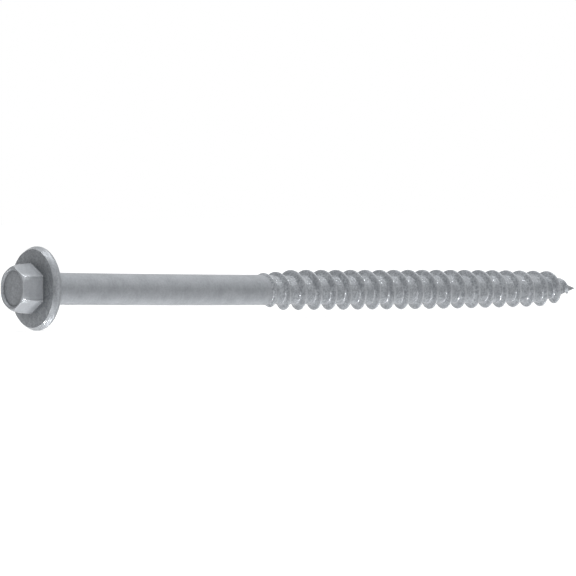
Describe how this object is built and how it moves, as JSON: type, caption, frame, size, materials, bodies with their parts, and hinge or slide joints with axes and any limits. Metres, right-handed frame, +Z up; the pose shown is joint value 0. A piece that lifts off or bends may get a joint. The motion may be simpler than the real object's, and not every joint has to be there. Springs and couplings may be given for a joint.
{
  "type": "construction screw",
  "caption": "Galvanised construction screw with a recessed hexagon head on a round washer flange, a smooth shank, a coarse wood thread and a sharp point.",
  "frame": {"origin": "on the floor under the middle of the screw's length, as it lies at rest", "axes": "+X along the screw from the head toward the point, dropping two degrees toward the point; +Z up from the floor; +Y across the screw"},
  "size_m": [0.1666, 0.019, 0.019],
  "materials": {
    "galvanised_steel": "matt cool grey hot-dip zinc coat, slightly mottled"
  },
  "bodies": {
    "root": {"screw": "galvanised_steel"}
  },
  "joints": []
}
